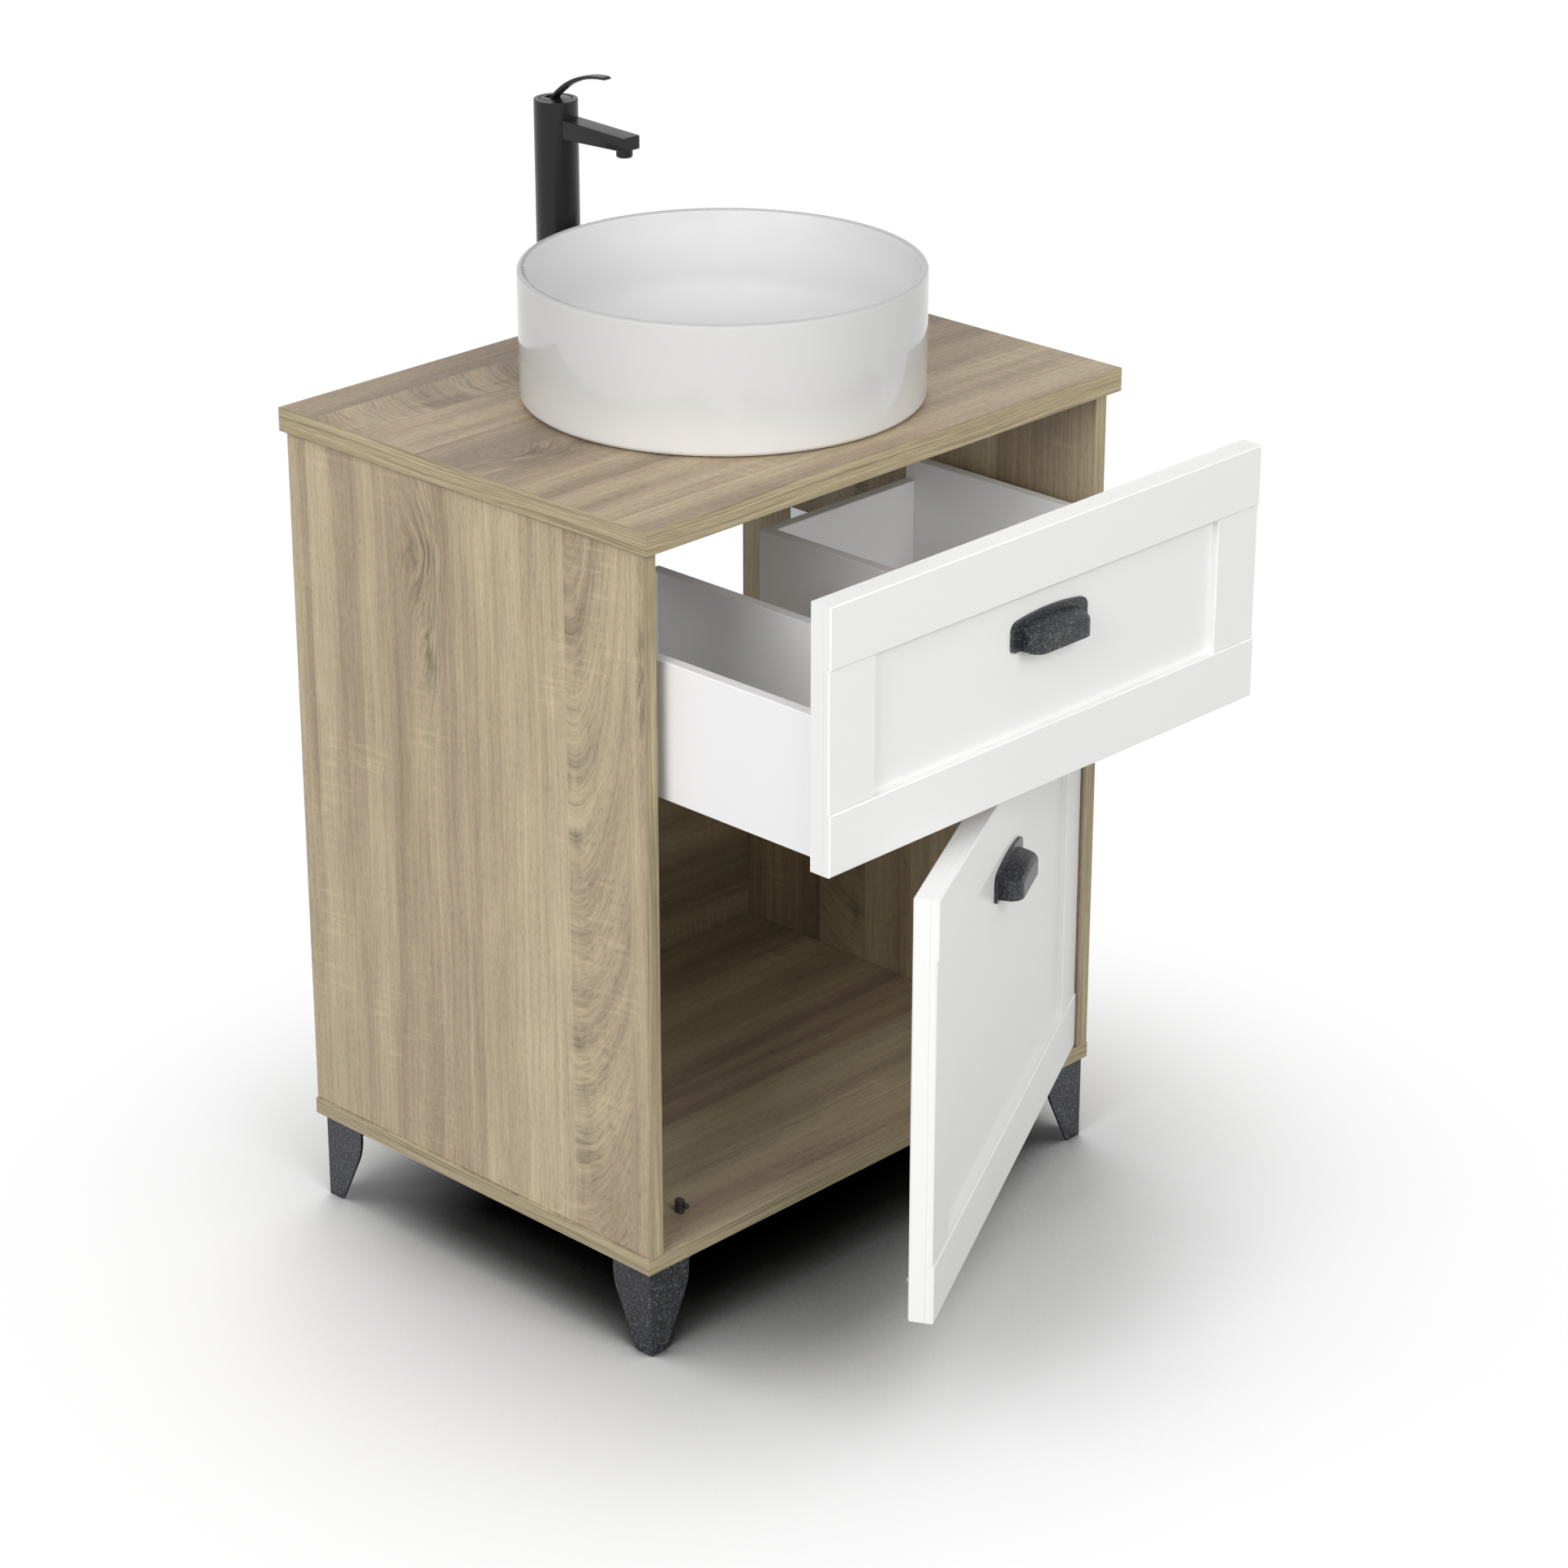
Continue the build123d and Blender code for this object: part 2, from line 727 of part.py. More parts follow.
# Door with pivot plates let into its upper and lower edges
def pivot_plate(edge, inward, clearance):
    """A plate along the door's edge, or its mortise: inward is the way from the edge into the door."""
    half = pivot_plate_width / 2 + clearance
    x_range = (front_half - pivot_plate_length - clearance, front_half)
    depth = edge + inward * (pivot_plate_thickness + clearance)
    return block(x_range, (pivot_y - half, pivot_y + half), sorted((edge, depth)))


def catch_keeper():
    """The stud on the door's back that the magnet peg holds."""
    seat = panel_back + glue_line
    plate = Cylinder(keeper_plate_radius, keeper_plate_thickness, align=UPWARD)
    stud = Cylinder(keeper_radius, catch_y - catch_nose_length - catch_play - seat, align=UPWARD)
    return Pos(catch_x, seat, keeper_level) * Rot(-90, 0, 0) * (plate + stud)


def door_catch():
    """The magnet peg on the base, with its upright edges bevelled and a nose towards the door."""
    half = catch_width / 2
    y_range = (catch_y, catch_y + catch_depth)
    solid = block((catch_x - half, catch_x + half), y_range, (base_top, base_top + catch_height))
    nose = Cylinder(catch_nose_radius, catch_nose_length, align=UPWARD)
    peg = chamfer(solid.edges().filter_by(Axis.Z), catch_corner)
    return peg + Pos(catch_x, catch_y, keeper_level) * Rot(90, 0, 0) * nose


keeper_level = door_bottom + keeper_rise + keeper_plate_radius
catch_x = catch_side_inset - inner_half
catch_y = carcass_front + catch_front_inset
upper_pin_top = bracket_level + bracket_thickness + pivot_pin_stand
lower_pin_bottom = bush_bottom + pivot_end_play
upper_pin = rod(pivot_pin_radius, pivot_y, door_top, upper_pin_top, pivot_x)
lower_pin = rod(pivot_pin_radius, pivot_y, lower_pin_bottom, door_bottom, pivot_x)
upper_pivot = pivot_plate(door_top, -1, 0) + upper_pin
lower_pivot = pivot_plate(door_bottom, 1, 0) + lower_pin
door_mortises = [pivot_plate(door_top, -1, mortise_clearance), pivot_plate(door_bottom, 1, mortise_clearance)]
framed_front("door", door_bottom, door_top, door_turn, door_mortises)
parts["door_pivots"] = group([upper_pivot, lower_pivot], door_turn)
parts["door_catch_keeper"] = door_turn * catch_keeper()
parts["door_catch"] = door_catch()


# Basin, its seal and the waste, turned about the basin's axis
def turned(points, rounds):
    """A solid turned about the basin's axis: points are (radius, level), rounds give corners a radius."""
    face = make_face(Polyline(*points, close=True))
    for corner, radius in rounds.items():
        vertex = face.vertices().sort_by_distance(points[corner])[0]
        face = fillet(vertex, radius)
    return Pos(0, basin_y, 0) * revolve(Plane.XZ * face, Axis.Z)


def basin():
    """A straight-walled bowl with a soft rim, and a floor that falls to the waste."""
    inner = basin_radius - basin_wall
    rim = basin_seat + basin_height
    points = [
        (waste_hole_radius, basin_seat),
        (basin_radius, basin_seat),
        (basin_radius, rim),
        (inner, rim),
        (inner, basin_floor + basin_floor_rise),
        (waste_flange_radius, basin_floor),
        (waste_hole_radius, basin_floor),
    ]
    rounds = {1: basin_foot_radius, 2: basin_rim_radius, 3: basin_rim_radius, 4: basin_floor_radius}
    return turned(points, rounds)


def waste_body():
    """A flanged and threaded tube, relieved below its nut, with a crossbar that guides the plug's stem."""
    bore = waste_thread_radius - waste_wall
    relief = waste_thread_radius - waste_relief_depth
    points = [
        (bore, waste_tail_end),
        (waste_thread_radius, waste_tail_end),
        (waste_thread_radius, waste_nut_bottom - waste_relief_width),
        (relief, waste_nut_bottom - waste_relief_width),
        (relief, waste_nut_bottom),
        (waste_thread_radius, waste_nut_bottom),
        (waste_thread_radius, waste_seat),
        (waste_flange_radius, waste_seat),
        (waste_flange_radius, waste_top),
        (bore, waste_top),
    ]
    bar_half = waste_guide_width / 2
    y_range = (basin_y - waste_thread_radius, basin_y + waste_thread_radius)
    bar = block((-bar_half, bar_half), y_range, (guide_bottom, guide_top))
    bar &= rod(waste_thread_radius, basin_y, guide_bottom, guide_top)
    bar -= rod(plug_stem_radius + plug_stem_play, basin_y, guide_bottom, guide_top)
    flange_edge = points.index((waste_flange_radius, waste_top))
    return turned(points, {flange_edge: waste_flange_edge}) + bar


def waste_plug():
    """The domed plug, stored raised, and its stem."""
    edge_top = plug_underside + plug_edge
    rim = Line((0, plug_underside), (plug_radius, plug_underside))
    side = Line(rim @ 1, (plug_radius, edge_top))
    crown = (0, edge_top + plug_dome)
    dome = RadiusArc(side @ 1, crown, -(plug_radius**2 + plug_dome**2) / (2 * plug_dome))
    axis = Line(crown, (0, plug_underside))
    head = revolve(Plane.XZ * make_face([rim, side, dome, axis]), Axis.Z)
    stem = rod(plug_stem_radius, basin_y, guide_bottom - plug_travel, plug_underside)
    return Pos(0, basin_y, 0) * head + stem


waste_flange_radius = waste_thread_radius + waste_flange_width
waste_seat = basin_floor + waste_seal_thickness
waste_top = waste_seat + waste_flange_thickness
waste_tail_end = top_underside - waste_tail_drop
waste_nut_radius = waste_thread_radius + waste_nut_width
washer_bottom = top_underside - waste_washer_thickness
waste_nut_bottom = washer_bottom - waste_nut_height
guide_top = waste_top - waste_guide_drop
guide_bottom = guide_top - waste_guide_depth
plug_radius = waste_flange_radius - plug_edge_inset
plug_seal_bottom = waste_top + plug_rest_gap + plug_travel
plug_underside = plug_seal_bottom + plug_seal_height
plug_seal_radius = plug_radius - plug_seal_inset
seal_radius = basin_radius - basin_seal_inset
parts["basin"] = basin()
parts["basin_seal"] = ring(seal_radius, seal_radius - basin_seal_width, basin_y, top_height, basin_seat)
parts["waste_body"] = waste_body()
parts["waste_seal"] = ring(waste_flange_radius, waste_thread_radius, basin_y, basin_floor, waste_seat)
parts["waste_washer"] = ring(waste_nut_radius, waste_thread_radius, basin_y, washer_bottom, top_underside)
parts["waste_nut"] = nut(
    waste_nut_radius, waste_nut_sides, waste_thread_radius, basin_y, waste_nut_bottom, waste_nut_height
)
parts["waste_plug"] = waste_plug()
parts["waste_plug_seal"] = ring(
    plug_seal_radius, plug_seal_radius - plug_seal_width, basin_y, plug_seal_bottom, plug_underside
)


# Tap: column, spout and fixings
def spout():
    """A flat-sided bar that tapers to its tip, with its long edges and its end rounded."""
    root_top = tap_top - spout_root_drop
    tip_top = tap_top - spout_tip_drop
    corners = [
        (tap_y, root_top - spout_root_height),
        (tap_y, root_top),
        (spout_tip, tip_top),
        (spout_tip, tip_top - spout_tip_height),
    ]
    side = Plane.YZ * make_face(Polyline(*corners, close=True))
    bar = extrude(side, spout_width / 2, both=True)
    root = bar.faces().sort_by(Axis.Y)[-1]
    return fillet(bar.edges() - root.edges(), spout_edge)


def tap_body():
    """A round column with the spout, bored from above for the cartridge and from below for its fixings."""
    column = rod(tap_radius, tap_y, tap_seat, tap_top)
    column = fillet(column.edges().group_by(Axis.Z)[-1], tap_edge)
    solid = column + spout() - rod(bore_radius, tap_y, bore_floor, tap_top)
    solid -= rod(aerator_radius + aerator_play, aerator_y, aerator_bottom, aerator_top)
    solid -= rod(stud_radius, stud_y, tap_seat, fixing_top)
    for x in (-inlet_spread, inlet_spread):
        solid -= rod(inlet_radius, inlet_y, tap_seat, fixing_top, x)
    return solid


def aerator():
    """A short sleeve in the spout's tip."""
    sleeve = rod(aerator_radius, aerator_y, aerator_bottom, aerator_top)
    sleeve = chamfer(sleeve.edges().group_by(Axis.Z)[0], aerator_edge)
    return sleeve - rod(aerator_radius - aerator_wall, aerator_y, aerator_bottom, spout_underside)


def inlet(x):
    """A supply tail: a plain stem in the column with a larger thread at its free end."""
    thread_top = inlet_bottom + inlet_thread_length
    thread = rod(inlet_thread_radius, inlet_y, inlet_bottom, thread_top, x)
    return thread + rod(inlet_radius, inlet_y, thread_top, fixing_top, x)


def clamp_washer():
    """A horseshoe washer under the countertop, open at the back where the inlets pass."""
    solid = rod(clamp_radius, tap_y, clamp_bottom, top_underside)
    half = clamp_slot_width / 2
    slot = block((-half, half), (tap_y, tap_y + clamp_radius), (clamp_bottom, top_underside))
    return solid - slot - rod(stud_radius + clamp_clearance, stud_y, clamp_bottom, top_underside)


spout_tip = tap_y - spout_reach
aerator_y = spout_tip + aerator_setback
tip_underside = tap_top - spout_tip_drop - spout_tip_height
root_underside = tap_top - spout_root_drop - spout_root_height
spout_underside = tip_underside + (root_underside - tip_underside) * aerator_setback / spout_reach
aerator_bottom = spout_underside - aerator_drop
aerator_top = spout_underside + aerator_seat
cartridge_top = ball_bottom - ball_room - cartridge_nut_height
bore_floor = cartridge_top - cartridge_height
fixing_top = tap_seat + stud_sink
stud_y = tap_y - stud_offset
inlet_y = tap_y + inlet_offset
clamp_bottom = top_underside - clamp_thickness
tap_nut_bottom = clamp_bottom - tap_nut_height
stud_bottom = top_underside - stud_drop
inlet_bottom = top_underside - inlet_drop
parts["tap_body"] = tap_body()
parts["tap_seal"] = ring(tap_radius, tap_radius - tap_seal_width, tap_y, top_height, tap_seat)
parts["aerator"] = aerator()
parts["tap_stud"] = rod(stud_radius, stud_y, stud_bottom, fixing_top)
parts["tap_clamp_washer"] = clamp_washer()
parts["tap_nut"] = nut(tap_nut_radius, tap_nut_sides, stud_radius, stud_y, tap_nut_bottom, tap_nut_height)
parts["tap_inlets"] = group(inlet(x) for x in (-inlet_spread, inlet_spread))


# Cartridge and lever: the stem turns in the cartridge, and the lever tilts on a pin through the stem
def cartridge():
    """The cartridge's case, bored from above for the stem."""
    case = rod(bore_radius - cartridge_play, tap_y, bore_floor, cartridge_top)
    return case - rod(stem_radius + stem_play, tap_y, stem_bottom - stem_play, cartridge_top)


def cartridge_stem():
    """A round stem with a flat tongue, cross-bored for the lever's pin."""
    shaft = rod(stem_radius, tap_y, stem_bottom, tongue_bottom)
    y_range = (tap_y - tongue_half, tap_y + tongue_half)
    tongue = block((-tongue_half, tongue_half), y_range, (tongue_bottom, pivot_level + tongue_rise))
    return shaft + tongue - pivot_axis * Cylinder(lever_pin_radius, 2 * tongue_half)


def lever_ball():
    """The ball-shaped base in the column's mouth, flat on top, with a pocket for the stem's tongue."""
    ball = Pos(0, tap_y, pivot_level) * Sphere(ball_radius)
    ball &= rod(ball_radius, tap_y, ball_bottom, tap_top - ball_top_drop)
    half = tongue_half + ball_pocket_play
    y_range = (tap_y - ball_pocket_length / 2, tap_y + ball_pocket_length / 2)
    pocket = block((-half, half), y_range, (ball_bottom, pivot_level + ball_pocket_height))
    return ball - pocket - pivot_axis * Cylinder(lever_pin_radius + lever_pin_play, 2 * ball_radius)


def lever_blade():
    """A curved blade that rises forward and thins towards its tip."""
    root = tap_top - ball_top_drop - lever_root_sink
    tip = tap_y - lever_reach
    tip_top = tap_top + lever_tip_height
    upper_bend = (tap_y - lever_upper_run, tap_top + lever_upper_rise)
    lower_bend = (tap_y - lever_lower_run, tap_top + lever_lower_rise)
    upper = ThreePointArc((tap_y + lever_root_back, root), upper_bend, (tip + lever_tip_slant, tip_top))
    lower = ThreePointArc((tap_y - lever_root_front, root), lower_bend, (tip, tip_top - lever_tip_thickness))
    side = make_face([upper, Line(upper @ 1, lower @ 1), lower, Line(lower @ 0, upper @ 0)])
    blade = extrude(Plane.YZ * side, lever_width / 2, both=True)
    foot_edges = blade.faces().sort_by(Axis.Z)[0].edges()
    return fillet(blade.edges().filter_by(Axis.X, reverse=True) - foot_edges, lever_edge)


stem_bottom = cartridge_top - stem_sink
tongue_bottom = pivot_level - tongue_drop
pivot_axis = Pos(0, tap_y, pivot_level) * Rot(0, 90, 0)
nut_top = cartridge_top + cartridge_nut_height
parts["cartridge"] = cartridge()
parts["cartridge_nut"] = ring(bore_radius, cartridge_nut_opening, tap_y, cartridge_top, nut_top)
parts["cartridge_stem"] = cartridge_stem()
parts["lever_pin"] = pivot_axis * Cylinder(lever_pin_radius, lever_pin_length)
parts["lever"] = lever_ball() + lever_blade()

os.makedirs("parts", exist_ok=True)
for name, shape in parts.items():
    export_step(shape, f"parts/{name}.step")
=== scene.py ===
"""Looks of a vessel sink on its vanity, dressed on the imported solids. Metres, Z up, the front looks along -Y.

Boards, paints, glaze and metals are node materials on the solids. The tap's lever and its cap are new surfaces.
"""
import json
import math

import bmesh
import bpy
import numpy as np
from mathutils import Matrix, Vector


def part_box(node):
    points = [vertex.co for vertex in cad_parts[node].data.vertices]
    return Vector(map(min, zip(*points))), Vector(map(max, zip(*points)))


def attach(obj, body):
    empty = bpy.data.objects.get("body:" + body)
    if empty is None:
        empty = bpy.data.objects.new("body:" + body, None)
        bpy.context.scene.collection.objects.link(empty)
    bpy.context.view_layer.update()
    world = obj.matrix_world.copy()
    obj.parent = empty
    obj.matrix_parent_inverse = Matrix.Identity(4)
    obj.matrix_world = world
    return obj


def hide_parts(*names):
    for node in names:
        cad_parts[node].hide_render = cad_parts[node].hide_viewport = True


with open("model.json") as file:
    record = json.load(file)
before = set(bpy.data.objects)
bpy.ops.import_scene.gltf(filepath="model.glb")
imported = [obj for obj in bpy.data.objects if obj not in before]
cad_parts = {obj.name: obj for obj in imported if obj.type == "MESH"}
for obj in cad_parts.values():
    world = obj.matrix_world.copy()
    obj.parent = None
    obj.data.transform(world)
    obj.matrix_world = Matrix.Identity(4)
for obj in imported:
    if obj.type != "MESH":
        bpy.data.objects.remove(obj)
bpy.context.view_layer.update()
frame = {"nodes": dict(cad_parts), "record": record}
scene = bpy.context.scene
MM = 0.001

# The tap's lever and its cap, in millimetres. A bow is three (Y, Z) points in the plane X = 0.
TAP_Y = -43.0
PIVOT_LEVEL = 998.0
UPPER_BOW = (-37.5, 1006.0), (-62.0, 1027.0), (-107.0, 1038.6)
LOWER_BOW = (-41.5, 1006.0), (-69.0, 1026.4), (-110.0, 1036.4)
BLADE_ROOT = -0.07  # share of the bows at which the blade starts, inside the hub
BLADE_HALF_WIDTH = 5.0
BLADE_SQUARENESS = 7
TIP_ROUND = 0.8
HUB_RADIUS = 8.5
HUB_HALF_HEIGHT = 5.4
SLOT_HALF = (5.5, 5.9)
SLOT_Y = -38.3
SLOT_SQUARENESS = 9
CAP_RADIUS = 15.1
CAP_TOP = 1007.6
CAP_CROWN = 1.0
CAP_BOTTOM = 1004.3
CAP_FLAT = 0.95  # share of the way from slot to edge before the edge turns down
CAP_EDGE_DROP = 0.5

# Surface settings
SMOOTH_BELOW = math.radians(24)  # edges of the solids that shade smooth
SHARP_ABOVE = math.radians(35)  # edges of the new pieces that stay sharp
SAME_PLACE = 2e-6  # corners closer than this are joined
JOINT_BLUR = 0.002  # half the width of a joint between staves
HEART_WIDTH = 0.02  # reach of the dark middle of the arches

# Studio, in metres and watts
LAMP_AIM = (0.0, -0.3, 0.5)
DOME_HORIZON, DOME_TOP = 0.30, 0.56
FLOOR_REACH = 9.0
SHADOW_CENTRE = (-0.08, -0.40)
SHADOW_FADE = (0.28, 0.82)  # from the floor's own colour to white

# Camera, in pixels of the picture's side and in millimetres
PICTURE = 1932
FOCAL = 5376.70
LENS_SHIFT = (-2.46, 0.83)
EYE = (-2612.966, -2840.007, 1993.781)
EYE_RIGHT = (0.6931290, -0.7208130, 0.0008317)
EYE_UP = (0.2857774, 0.2758605, 0.9177321)
EYE_AHEAD = (0.6617427, 0.6358691, -0.3971990)


def paint(red, green, blue):
    """A colour of 0 to 255 in sRGB as linear light, with full alpha."""
    share = np.array([red, green, blue]) / 255
    linear = np.where(share <= 0.04045, share / 12.92, ((share + 0.055) / 1.055) ** 2.4)
    return (*linear.tolist(), 1.0)


class Wire:
    """A node's output. Sums and products of wires and numbers add Math nodes; node() adds any other node."""

    def __init__(self, tree, socket=None):
        self.tree = tree
        self.socket = socket

    def node(self, kind, settings=None, inputs=None, output=0):
        """Adds a node: its settings first, then the values or links of its sockets. Gives one output."""
        made = self.tree.nodes.new(kind)
        for name, value in (settings or {}).items():
            if name == "stops":
                self.set_stops(made.color_ramp, value)
            else:
                setattr(made, name, value)
        for key, value in (inputs or {}).items():
            if isinstance(value, Wire):
                self.tree.links.new(value.socket, made.inputs[key])
            else:
                made.inputs[key].default_value = value
        return Wire(self.tree, made.outputs[output])

    @staticmethod
    def set_stops(ramp, stops):
        """Puts a ramp's (place, colour) stops, at least two, in rising order."""
        while len(ramp.elements) < len(stops):
            ramp.elements.new(1.0)
        for element, (place, colour) in zip(ramp.elements, stops):
            element.position = place
            element.color = colour

    def math(self, operation, *values):
        return self.node("ShaderNodeMath", {"operation": operation}, dict(enumerate(values)))

    def __add__(self, other):
        return self.math("ADD", self, other)

    def __sub__(self, other):
        return self.math("SUBTRACT", self, other)

    def __rsub__(self, other):
        return self.math("SUBTRACT", other, self)

    def __mul__(self, other):
        return self.math("MULTIPLY", self, other)

    def __truediv__(self, other):
        return self.math("DIVIDE", self, other)

    def __gt__(self, other):
        return self.math("GREATER_THAN", self, other)

    def __lt__(self, other):
        return self.math("LESS_THAN", self, other)

    def __abs__(self):
        return self.math("ABSOLUTE", self)

    __radd__ = __add__
    __rmul__ = __mul__

    def reach(self, other):
        """The root of the sum of both squares, as in a distance."""
        return self.math("SQRT", self * self + other * other)

    def hill(self):
        """One where the value is zero, falling off as a bell on both sides."""
        return self.math("EXPONENT", -1.0 * self * self)

    def smooth(self, low, high):
        """Zero at low and one at high, easing in and out between them."""
        limits = {"Value": self, "From Min": low, "From Max": high}
        return self.node("ShaderNodeMapRange", {"interpolation_type": "SMOOTHSTEP"}, limits)

    def axes(self):
        split = self.node("ShaderNodeSeparateXYZ", {}, {"Vector": self}).socket.node
        return [Wire(self.tree, socket) for socket in split.outputs]

    def place(self, across, up, out):
        return self.node("ShaderNodeCombineXYZ", {}, {0: across, 1: up, 2: out})

    def noise(self, scale, detail, roughness=0.5):
        """Cloudy noise about one half over this place."""
        values = {"Vector": self, "Scale": scale, "Detail": detail, "Roughness": roughness}
        return self.node("ShaderNodeTexNoise", {"noise_dimensions": "3D"}, values)

    def mix(self, first, second):
        """The first colour where this wire is zero, the second where it is one."""
        return self.node("ShaderNodeMix", {"data_type": "RGBA"}, {0: self, 6: first, 7: second}, 2)

    def ramp(self, *stops):
        return self.node("ShaderNodeValToRGB", {"stops": stops}, {"Fac": self})

    def times(self, colour):
        """The colour multiplied by this value."""
        grey = self.node("ShaderNodeCombineColor", {}, {0: self, 1: self, 2: self})
        product = {0: 1.0, 6: colour, 7: grey}
        return self.node("ShaderNodeMix", {"data_type": "RGBA", "blend_type": "MULTIPLY"}, product, 2)

    def bump(self, height, strength):
        """A normal from this relief; height is the depth in metres of one unit."""
        return self.node("ShaderNodeBump", {}, {"Strength": strength, "Distance": height, "Height": self})

    def openness(self, distance):
        """One in the open, zero where things within this distance hide the whole sky."""
        return self.node("ShaderNodeAmbientOcclusion", {"samples": 16}, {"Distance": distance}, 1)

    def direct_rays(self):
        """One for rays from the camera, straight or by way of a mirror or glass, and zero for the others."""
        path = self.node("ShaderNodeLightPath").socket.node
        rays = [Wire(self.tree, path.outputs[f"Is {kind} Ray"]) for kind in ("Camera", "Glossy", "Transmission")]
        return (rays[0] + rays[1] + rays[2]).smooth(0, 1)


class Finish:
    """A material in the making, with a wire for the place on the piece."""

    def __init__(self, name):
        self.material = bpy.data.materials.new(name)
        self.material.use_nodes = True
        self.tree = self.material.node_tree
        self.shader = self.tree.nodes["Principled BSDF"]
        self.spot = Wire(self.tree).node("ShaderNodeTexCoord", output="Object")

    def put(self, **sockets):
        """Fills or links the shader's sockets; an underscore stands for a space."""
        for name, value in sockets.items():
            socket = self.shader.inputs[name.replace("_", " ")]
            if isinstance(value, Wire):
                self.tree.links.new(value.socket, socket)
            else:
                socket.default_value = value
        return self.material


class Board(Finish):
    """A board's finish, with wires for the place along its grain, across it and through it, and for how far a face
    looks those ways."""

    def __init__(self, name, face, along, seed):
        super().__init__(name)
        across = next(axis for axis in "XYZ" if axis not in face + along)
        spot = dict(zip("XYZ", self.spot.axes()))
        look = dict(zip("XYZ", self.spot.node("ShaderNodeNewGeometry", output="True Normal").axes()))
        self.seed = seed
        self.run, self.side, self.deep = spot[along], spot[across], spot[face]
        self.ends, self.edges, self.flats = abs(look[along]), abs(look[across]), abs(look[face])

    def streaks(self, along, place_across, layer=0, detail=2, roughness=0.5, run=None):
        """Noise drawn out along the grain: 'along' is its scale there, and the place across is scaled already."""
        place = self.spot.place((run or self.run) * along, place_across, self.seed + layer)
        return place.noise(1, detail, roughness)


def stave_tones(board, staves, wander):
    """Each stave's tone over the board: the first tone plus an eased step at each joint, which wanders a little."""
    tone = staves[0][1]
    place = board.side + wander
    for (_, before), (joint, after) in zip(staves, staves[1:]):
        tone = tone + place.smooth(joint - JOINT_BLUR, joint + JOINT_BLUR) * (after - before)
    return tone


def arched_stave(board, ring, wander, low, high, heart, top, slope):
    """Nested arches between low and high: the ring distance becomes the root of (distance from the heart) squared +
    (slope times the way down from the top) squared. Gives the rings and how dusky their late wood is."""
    inside = (board.side > low) * (board.side < high)
    aside = board.side - heart
    arch = aside.reach((top - board.run) * slope) + wander
    ring = ring + (arch - ring) * inside
    late = board.streaks(4.0, ring * 130, 7, 3, 0.55).smooth(0.50, 0.64)
    near = (aside / HEART_WIDTH).hill()
    smudge = board.streaks(20, board.side * 60, 8, 3).smooth(0.46, 0.62) * near
    return ring, (late * (0.26 + near * 0.5) + smudge * 0.6) * inside


def grain_eye(board, ring, run, side, length, width):
    """An eye in the grain, at a place along and across the board: it pushes the rings aside as a bell, and dark lines
    swirl in it. Gives the rings and the lines."""
    bell = ((board.run - run) / length).reach((board.side - side) / width).hill()
    ring = ring + bell * width
    return ring, bell * board.streaks(30, ring * 260).smooth(0.44, 0.58) * 1.3


def edge_band(board):
    """The glued edge band: thin strips along the board's rim, turned to run along its ends too. Gives its colour and
    its fine fibres."""
    run = board.run + (board.side - board.run) * board.ends.smooth(0.5, 0.7)
    slant = board.deep + (board.streaks(3, board.deep * 20, 0, 1, run=run) - 0.5) * 0.02
    strips = board.streaks(4.0, slant * 640, 0, 2, 0.6, run)
    fibres = board.streaks(40, slant * 1300, 0, 1, run=run)
    tint = strips.ramp((0.34, paint(132, 119, 95)), (0.46, paint(162, 148, 120)), (0.56, paint(177, 164, 133)),
                       (0.70, paint(192, 179, 148)))
    return (1.0 + (fibres - 0.5) * 0.7).times(tint), fibres


